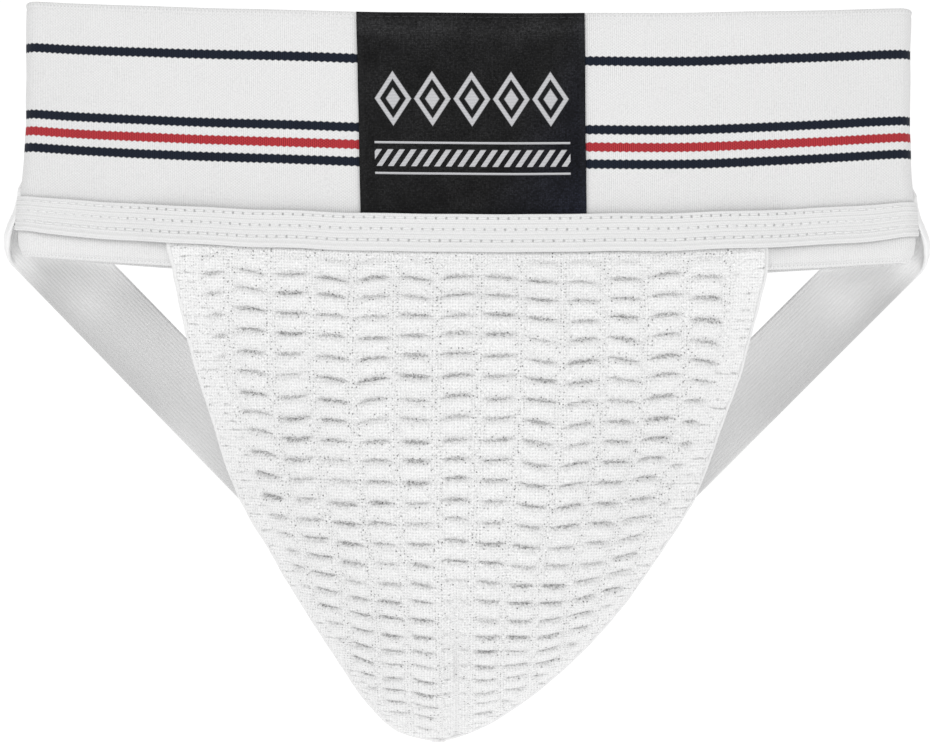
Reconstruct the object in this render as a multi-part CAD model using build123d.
from build123d import *
import math
import os

# Athletic groin protector: a wide elastic waistband, a front pouch with an inner
# pocket that holds a vented cup, and two elastic leg straps.
# Frame: -Y is the front, +Z is up, +X is the wearer's left. Part names use the
# front view instead: "left" parts are at -X, "right" parts at +X.
# Origin: middle of the waist opening, level with the band's top edge at its side
# folds. A "depth" is measured down from the band's top edge.

# ---------------------------------------------------------------- dimensions
BAND_H = 76.2            # three inch waistband elastic
BAND_T = 1.6
SIDE_X = 130.4           # half width over the side folds
FRONT_DEPTH = 34.0       # front centre of the band ahead of the origin
FRONT_R = 279.6          # plan radius of the front panel
FOLD_R = 6.5             # plan radius of the two side folds
SAG = 5.6                # dip of the band edges at the centre
SAG_HALF = 127.0         # half width over which the edges dip
BACK_HALF = 97.7         # half width of the back panel
BACK_GAP = 0.4           # between the back panel and each side return

LAP_GAP = 0.2            # back panel to lap join
LAP_W, LAP_T = 14, 1.4
LAP_SHORTER = 1.5        # lap join height below that of the band
TAG_GAP = 0.3            # lap join to care tag
TAG_W, TAG_T, TAG_H = 30, 0.5, 28
TAG_DEPTH = 4            # top of the care tag

THREAD_R = 0.28
THREAD_GAP = 0.05        # between a thread and the cloth it lies on

LABEL_HALF = 32.5
LABEL_TOP, LABEL_BOT = 0.4, 57.0
LABEL_T = 0.5
LABEL_OFF = BAND_T / 2 + 0.15
LABEL_STITCH_INSET = 1.0
LABEL_STITCH_DEPTH = 1.7
LABEL_THREAD_R = 0.22

# Layers on the band, as offsets from its mid surface
LAYER_GAP = 0.2
HEADING_OFF = BAND_T / 2 + LAYER_GAP    # pouch heading and strap ends
HEADING_T = 1.3
HEADING_HALF = 84.0
HEADING_TOP_INSET, HEADING_BOT_INSET = 0.8, 0.6    # inside the cover tape

TAPE_TOP, TAPE_BOT = 57.6, 68.3
TAPE_HALF = 121.0
TAPE_OFF = HEADING_OFF + HEADING_T + LAYER_GAP
TAPE_T = 1.1
TAPE_STITCH_DEPTHS = {"upper": 58.9, "middle": 62.2, "lower": 65.5}
TAPE_STITCH_INSET = 2

STRAP_W = 22.0
STRAP_T = 1.4
STRAP_SLOPE = 45.2       # degrees below horizontal
STRAP_X0, STRAP_Z0 = -131.4, -65.3      # origin of distances along the strap
STRAP_START = 42.0       # upper end of the free strap, along it
STRAP_END_X = 1.3        # lower end, distance from the centre plane
STRAP_Y_TOP, STRAP_Y_LOW = 9.5, 2.3
STRAP_EASE = 184.0       # length over which y eases from top to low
STUB_END = 34.5          # lower end of the sewn end, along the strap
STUB_OVERLAP = 0.05      # extra thickness on each face of the sewn end
TONGUE_X = 90.0          # front end of the tongue, distance from the centre plane
TONGUE_Z, TONGUE_H = -67.8, 7.2         # extrusion start and length

# Outer corner of the left strap's sewn end, from the top down (x, z)
STUB_EDGE = [
    (-127.2, -54.0), (-131.4, -54.0), (-132.2, -57.5), (-132.9, -61.0), (-134.6, -64.5),
    (-136.0, -68.0), (-136.5, -71.9), (-135.6, -75.8), (-133.4, -79.0),
]

SIDE_TACK = (1.4, 0.6, 11)
SIDE_TACK_X, SIDE_TACK_Z = -119.0, -70.5
SIDE_TACK_GAP = 0.15
LOW_TACK = (1.6, 0.8, 15)
LOW_TACK_X, LOW_TACK_Z = -7.6, -190.0
LOW_TACK_GAP = 0.35

# Pouch levels: z, half width (to the bound edge), centre y, edge y
LEVELS = [
    (-76.0, 87.3, -38.0, -25.2),
    (-82.0, 85.9, -39.6, -24.6),
    (-88.0, 84.6, -41.0, -20.8),
    (-98.0, 82.3, -42.6, -13.6),
    (-110.0, 79.0, -44.8, -10.0),
    (-122.5, 74.6, -46.2, -7.2),
    (-134.3, 70.2, -46.8, -5.4),
    (-144.0, 66.6, -46.4, -4.4),
    (-152.0, 62.4, -45.4, -3.8),
    (-159.0, 58.0, -43.8, -3.4),
    (-166.0, 53.6, -41.6, -3.2),
    (-173.2, 49.0, -38.6, -3.1),
    (-180.2, 43.9, -34.8, -3.0),
    (-187.3, 38.3, -30.0, -2.9),
    (-194.4, 32.4, -24.4, -2.8),
    (-201.4, 25.4, -17.6, -2.6),
    (-207.0, 19.0, -11.4, -2.4),
    (-211.0, 13.4, -6.6, -2.2),
    (-214.0, 8.0, -3.4, -2.0),
]
POUCH_Z_TOP, POUCH_Z_LOW = LEVELS[0][0], LEVELS[-1][0]
POUCH_T = 1.6
POUCH_TOP_DEPTH = 70.4   # top edge, just under the cover tape
POUCH_BLEND = 40.0       # height over which the top edge's curve fades out
POUCH_INSET = 2.75       # cloth edge inside the bound edge
POUCH_TOL = 0.15         # surface fit of the pouch and liner

BIND_R = 1.05
BIND_BACK = 0.7          # binding centre behind the pouch's outer surface
BIND_TAIL = [(-4.6, -1.2, -215.2), (-0.8, -1.2, -215.9)]

DART_TOP, DART_LOW = -168.0, -212.0
DART_OUT = 0.45          # shift forward and down from the pouch surface
DART_R = 0.3

LINER_TOP, LINER_LOW = -98.0, -208.0
LINER_T = 1.0
LINER_INSET = 3.2
LINER_BACK = 2.6         # behind the pouch edge
LINER_BOW = 0.4          # how far its middle bows forward
HEM_INSET = 4.4
HEM_BACK = 0.4
HEM_RISE = 2.2
HEM_R = 1.6

CUP_PLACE = Pos(0, -12.6, -148.0) * Rot(6.0, 0, 0)     # top leans forward
CUP_HALF_W, CUP_HALF_H, CUP_DOME = 41.0, 46.0, 25.0
CUP_T = 2.4
CUP_INNER_SHIFT = 0.01   # moves the hollow back so it opens through the rim plane
CUP_SECTIONS = (0.0, 0.30, 0.56, 0.78, 0.92)           # fractions of the dome depth
VENT_D = 7.0
# Vent centres in the cup's own frame (x, z)
VENTS = [
    (0, 22), (-13, 14), (13, 14), (0, 6), (-13, -2), (13, -2), (0, -10), (-9, -20), (9, -20),
]
RIM_Y = 2.35
RIM_R = 2.1

# Plan of the band: front arc, two fold arcs, straight returns at the back
FOLD_START_ANGLE = math.asin((SIDE_X - BAND_T / 2 - FOLD_R) / (FRONT_R - FOLD_R))
FRONT_CY = FRONT_R - FRONT_DEPTH
FOLD_CX = (FRONT_R - FOLD_R) * math.sin(FOLD_START_ANGLE)
FOLD_CY = FRONT_CY - (FRONT_R - FOLD_R) * math.cos(FOLD_START_ANGLE)
FOLD_START = FRONT_R * FOLD_START_ANGLE                # arc positions
FOLD_END = FOLD_START + FOLD_R * (math.pi - FOLD_START_ANGLE)
BACK_Y = FOLD_CY + FOLD_R
BACK_INNER_Y = BACK_Y - BAND_T / 2
STUB_Y = BACK_Y + HEADING_OFF


# ------------------------------------------------------------------- helpers
def spread(first, last, count):
    return [first + (last - first) * i / (count - 1) for i in range(count)]


def band_xy(s, off=0.0):
    """Plan point on the band, s along it from the front centre, off outwards."""
    side = 1.0 if s >= 0 else -1.0
    s = abs(s)
    if s <= FOLD_START:
        angle = s / FRONT_R
        x = (FRONT_R + off) * math.sin(angle)
        y = FRONT_CY - (FRONT_R + off) * math.cos(angle)
    elif s <= FOLD_END:
        angle = FOLD_START_ANGLE + (s - FOLD_START) / FOLD_R
        x = FOLD_CX + (FOLD_R + off) * math.sin(angle)
        y = FOLD_CY - (FOLD_R + off) * math.cos(angle)
    else:
        x, y = FOLD_CX - (s - FOLD_END), BACK_Y + off
    return side * x, y


def arc_pos(x):
    """Arc position of the front panel point at x."""
    return FRONT_R * math.asin(x / FRONT_R)


def band_arc(s0, s1, off):
    return Edge.make_three_point_arc(
        band_xy(s0, off), band_xy((s0 + s1) / 2, off), band_xy(s1, off)
    )


def sag(x):
    return SAG * max(0.0, 1.0 - (x / SAG_HALF) ** 2)


def sheet(rows, thickness, y_side=1, tol=0.01):
    """Smooth surface through rows of points, thickened towards +Y or -Y (y_side)."""
    face = Face.make_surface_from_array_of_points(
        [[Vector(*point) for point in row] for row in rows], tol=tol, min_deg=3, max_deg=3
    )
    normal = face.normal_at(face.position_at(0.5, 0.5))
    sign = 1.0 if normal.Y * y_side > 0 else -1.0
    return Solid.thicken(face, sign * thickness)


def spline(points, periodic=False):
    return Edge.make_spline([Vector(*point) for point in points], periodic=periodic)


def tube(line, radius):
    start = Plane(origin=line.position_at(0), z_dir=line.tangent_at(0))
    return Solid(sweep(start * Circle(radius), path=line).wrapped)


def band_sheet(half_x, top, bottom, off, thickness, count):
    """Strip centred on the front of the band, between two depths."""
    rows = []
    for depth in spread(top, bottom, 5):
        plan = [band_xy(s, off) for s in spread(-arc_pos(half_x), arc_pos(half_x), count)]
        rows.append([(x, y, -depth - sag(x)) for x, y in plan])
    return sheet(rows, thickness, y_side=-1)


def band_thread(half_length, depth, off, radius, count):
    """Thread centred on the front of the band."""
    points = [
        (*band_xy(s, off), -depth - sag(band_xy(s)[0]))
        for s in spread(-half_length, half_length, count)
    ]
    return tube(spline(points), radius)


def sagging_block(half_x, count, front_y, length):
    """Front outline of the band, extruded towards +Y from front_y."""
    xs = spread(-half_x, half_x, count)
    with BuildPart() as block:
        with BuildSketch(Plane.XZ.offset(-front_y)):
            with BuildLine():
                top = Spline(*[(x, -sag(x)) for x in xs])
                low = Spline(*[(x, -sag(x) - BAND_H) for x in reversed(xs)])
                Line(top @ 1, low @ 0)
                Line(low @ 1, top @ 0)
            make_face()
        extrude(amount=-length)
    return block.part


# ----------------------------------------------------------------- waistband
def waistband_front():
    """Front panel with both side folds and the short returns behind them."""
    return_x = BACK_HALF + BACK_GAP
    half = BAND_T / 2
    edges = []
    for off in (half, -half):
        edges += [
            Edge.make_line((-return_x, BACK_Y + off), band_xy(-FOLD_END, off)),
            band_arc(-FOLD_END, -FOLD_START, off),
            band_arc(-FOLD_START, FOLD_START, off),
            band_arc(FOLD_START, FOLD_END, off),
            Edge.make_line(band_xy(FOLD_END, off), (return_x, BACK_Y + off)),
        ]
    for x in (-return_x, return_x):
        edges.append(Edge.make_line((x, BACK_Y - half), (x, BACK_Y + half)))
    # Taller than the band, then trimmed to its sagging edges
    block = Pos(0, 0, -95) * extrude(Face(Wire(edges)), amount=100)
    return block & sagging_block(132.0, 23, front_y=-60, length=100)


def waistband_lap_join():
    """Lap on the inner face of the centre back."""
    y = BACK_INNER_Y - LAP_GAP - LAP_T / 2
    return Pos(0, y, -SAG - BAND_H / 2) * Box(LAP_W, LAP_T, BAND_H - LAP_SHORTER)


def care_tag():
    """Blank tag hanging in front of the lap."""
    y = BACK_INNER_Y - LAP_GAP - LAP_T - TAG_GAP - TAG_T / 2
    return Pos(0, y, -SAG - TAG_DEPTH - TAG_H / 2) * Box(TAG_W, TAG_T, TAG_H)


# ---------------------------------------------------------- label, tape, seams
def label_stitching():
    return band_thread(
        arc_pos(LABEL_HALF - LABEL_STITCH_INSET),
        LABEL_STITCH_DEPTH,
        LABEL_OFF + LABEL_T + THREAD_R + THREAD_GAP,
        LABEL_THREAD_R,
        15,
    )


def tape_stitching(depth):
    return band_thread(
        arc_pos(TAPE_HALF) - TAPE_STITCH_INSET,
        depth,
        TAPE_OFF + TAPE_T + THREAD_R + THREAD_GAP,
        THREAD_R,
        41,
    )


def pouch_heading():
    top, bottom = TAPE_TOP + HEADING_TOP_INSET, TAPE_BOT - HEADING_BOT_INSET
    return band_sheet(HEADING_HALF, top, bottom, HEADING_OFF, HEADING_T, 61)


# ------------------------------------------------------------ left leg strap
SLOPE_COS = math.cos(math.radians(STRAP_SLOPE))
SLOPE_SIN = math.sin(math.radians(STRAP_SLOPE))


def strap_xz(along, across):
    return (
        STRAP_X0 + SLOPE_COS * along + SLOPE_SIN * across,
        STRAP_Z0 - SLOPE_SIN * along + SLOPE_COS * across,
    )


def strap_sewn_end():
    """Flat end behind the side return, with a narrower tongue round the side fold."""
    lower_corners = [strap_xz(STUB_END, side * STRAP_W / 2) for side in (-1, 1)]
    with BuildPart() as flat_end:
        with BuildSketch(Plane.XZ.offset(-(STUB_Y - STUB_OVERLAP))):
            with BuildLine():
                Polyline(*STUB_EDGE, *lower_corners, close=True)
            make_face()
        extrude(amount=-(HEADING_T + 2 * STUB_OVERLAP))

    near, far = HEADING_OFF, HEADING_OFF + HEADING_T
    tongue_start = arc_pos(TONGUE_X)
    edges = []
    for off in (near, far):
        edges.append(band_arc(-tongue_start, -FOLD_START, off))
        edges.append(band_arc(-FOLD_START, -FOLD_END, off))
    for s in (tongue_start, FOLD_END):
        edges.append(Edge.make_line(band_xy(-s, near), band_xy(-s, far)))
    tongue = Pos(0, 0, TONGUE_Z) * extrude(Face(Wire(edges)), amount=TONGUE_H)
    return flat_end.part + tongue


def leg_strap():
    """Free strap, easing forward on its way down to the centre."""
    rows = []
    for across in spread(-STRAP_W / 2, STRAP_W / 2, 5):
        end = (-STRAP_X0 - STRAP_END_X - SLOPE_SIN * across) / SLOPE_COS
        row = []
        for along in spread(STRAP_START, end, 41):
            ease = along / STRAP_EASE
            y = STRAP_Y_TOP + (STRAP_Y_LOW - STRAP_Y_TOP) * ease * ease * (3 - 2 * ease)
            x, z = strap_xz(along, across)
            row.append((x, y, z))
        rows.append(row)
    return sheet(rows, STRAP_T)


def bar_tack(x, front_y, z, size):
    """Small bar lying across the strap."""
    return Pos(x, front_y + size[1] / 2, z) * Rot(0, STRAP_SLOPE, 0) * Box(*size)


# ---------------------------------------------------------------------- pouch
def level(z):
    """Half width, centre y and edge y at z, by cubic interpolation of LEVELS."""
    i = next(i for i in range(len(LEVELS) - 1) if z >= LEVELS[i + 1][0])
    step = LEVELS[i][0] - LEVELS[i + 1][0]
    g = (LEVELS[i][0] - z) / step

    def tangent(j, column):
        above, below = LEVELS[max(0, j - 1)], LEVELS[min(len(LEVELS) - 1, j + 1)]
        return (below[column] - above[column]) / (above[0] - below[0]) * step

    return [
        (2 * g**3 - 3 * g**2 + 1) * LEVELS[i][column]
        + (g**3 - 2 * g**2 + g) * tangent(i, column)
        + (3 * g**2 - 2 * g**3) * LEVELS[i + 1][column]
        + (g**3 - g**2) * tangent(i + 1, column)
        for column in (1, 2, 3)
    ]


def pouch_point(u, z, inset):
    """Point on the pouch's outer surface; u runs -1..1 across it."""
    half_width, centre_y, edge_y = level(z)
    x = (half_width - inset) * u
    # Near the top the levels bend to follow the sagging band edge
    blend = max(0.0, 1.0 - (POUCH_Z_TOP - z) / POUCH_BLEND) ** 2
    top_shift = -POUCH_Z_TOP - POUCH_TOP_DEPTH - sag(x)
    return x, centre_y + (edge_y - centre_y) * u * u, z + blend * top_shift


def pouch_front():
    rows = [
        [pouch_point(u, z, POUCH_INSET) for u in spread(-1, 1, 11)]
        for z in spread(POUCH_Z_TOP, POUCH_Z_LOW, 20)
    ]
    return sheet(rows, POUCH_T, tol=POUCH_TOL)


def pouch_binding():
    """Round binding down the left edge, ending near the bottom centre."""
    points = []
    for level_z in spread(POUCH_Z_TOP - 0.8, POUCH_Z_LOW + 0.5, 14):
        x, y, z = pouch_point(-1.0, level_z, BIND_R)
        points.append((x, y + BIND_BACK, z))
    return tube(spline(points + BIND_TAIL), BIND_R)


def dart_stitching():
    """Thread on the outside of the pouch, down its lower centre."""
    points = [
        (0.0, level(z)[1] - DART_OUT, z - DART_OUT) for z in spread(DART_TOP, DART_LOW, 16)
    ]
    return tube(spline(points), DART_R)


def liner_point(u, z, inset):
    half_width, _, edge_y = level(z)
    return (half_width - inset) * u, edge_y + LINER_BACK - LINER_BOW * (1 - u * u), z


def pocket_liner():
    """Inner pocket layer behind the cup."""
    rows = [
        [liner_point(u, z, LINER_INSET) for u in spread(-1, 1, 7)]
        for z in spread(LINER_TOP, LINER_LOW, 14)
    ]
    return sheet(rows, LINER_T, tol=POUCH_TOL)


def pocket_mouth_elastic():
    points = []
    for u in spread(-1, 1, 15):
        x, y, z = liner_point(u, LINER_TOP, HEM_INSET)
        points.append((x, y + HEM_BACK, z + HEM_RISE))
    return tube(spline(points), HEM_R)


# ------------------------------------------------------------------------ cup
def cup_outline(y, scale=1.0):
    """Closed oval, wider at the top, in the cup's own frame."""
    points = []
    for i in range(40):
        angle = 2 * math.pi * i / 40
        ca, sa = math.cos(angle), math.sin(angle)
        x = math.copysign(abs(ca) ** 0.9, ca) * CUP_HALF_W * (0.84 + 0.16 * sa)
        points.append((x * scale, y, sa * CUP_HALF_H * scale))
    return spline(points, periodic=True)


def cup_dome(grow):
    """Solid dome from the rim plane forward, grown by grow all round."""
    sections = []
    for f in CUP_SECTIONS:
        scale = math.sqrt(1 - f ** 2.2) * (1 + grow / CUP_HALF_W)
        sections.append(Wire([cup_outline(-(CUP_DOME + grow) * f, scale)]))
    return Solid.make_loft(sections, ruled=False)


def cup_shell():
    shell = cup_dome(0.0) - Pos(0, CUP_INNER_SHIFT, 0) * cup_dome(-CUP_T)
    for x, z in VENTS:
        vent = Cylinder(VENT_D / 2, CUP_DOME * 3)
        shell = shell - Pos(x, -CUP_DOME / 2, z) * Rot(90, 0, 0) * vent
    # Keep only the largest solid
    return CUP_PLACE * Solid(shell.solids().sort_by(SortBy.VOLUME)[-1].wrapped)


def cup_rim_cushion():
    return CUP_PLACE * tube(cup_outline(RIM_Y), RIM_R)


# --------------------------------------------------------------------- output
parts = {
    "waistband_front": waistband_front(),
    "waistband_back": sagging_block(BACK_HALF, 15, front_y=BACK_INNER_Y, length=BAND_T),
    "waistband_lap_join": waistband_lap_join(),
    "care_tag": care_tag(),
    "front_label": band_sheet(LABEL_HALF, LABEL_TOP, LABEL_BOT, LABEL_OFF, LABEL_T, 21),
    "label_top_stitching": label_stitching(),
    "cover_tape": band_sheet(TAPE_HALF, TAPE_TOP, TAPE_BOT, TAPE_OFF, TAPE_T, 101),
    "pouch_heading": pouch_heading(),
    "pouch_front": pouch_front(),
    "pouch_dart_stitching": dart_stitching(),
    "pocket_liner": pocket_liner(),
    "pocket_mouth_elastic": pocket_mouth_elastic(),
    "cup_shell": cup_shell(),
    "cup_rim_cushion": cup_rim_cushion(),
}
for row_name, row_depth in TAPE_STITCH_DEPTHS.items():
    parts["tape_stitching_" + row_name] = tape_stitching(row_depth)

# Parts built on the left and mirrored to the right
side_tack_y = STUB_Y + HEADING_T + SIDE_TACK_GAP
low_tack_y = STRAP_Y_LOW + STRAP_T + LOW_TACK_GAP
pairs = {
    "leg_strap_{}_sewn_end": strap_sewn_end(),
    "strap_bar_tack_{}": bar_tack(SIDE_TACK_X, side_tack_y, SIDE_TACK_Z, SIDE_TACK),
    "leg_strap_{}": leg_strap(),
    "pouch_edge_binding_{}": pouch_binding(),
    "bottom_bar_tack_{}": bar_tack(LOW_TACK_X, low_tack_y, LOW_TACK_Z, LOW_TACK),
}
for pattern, left in pairs.items():
    parts[pattern.format("left")] = left
    parts[pattern.format("right")] = mirror(left, about=Plane.YZ)

os.makedirs("parts", exist_ok=True)
for name, shape in parts.items():
    solids = shape.solids()
    body = solids[0] if len(solids) == 1 else shape
    body.label = name
    export_step(body, "parts/" + name + ".step")
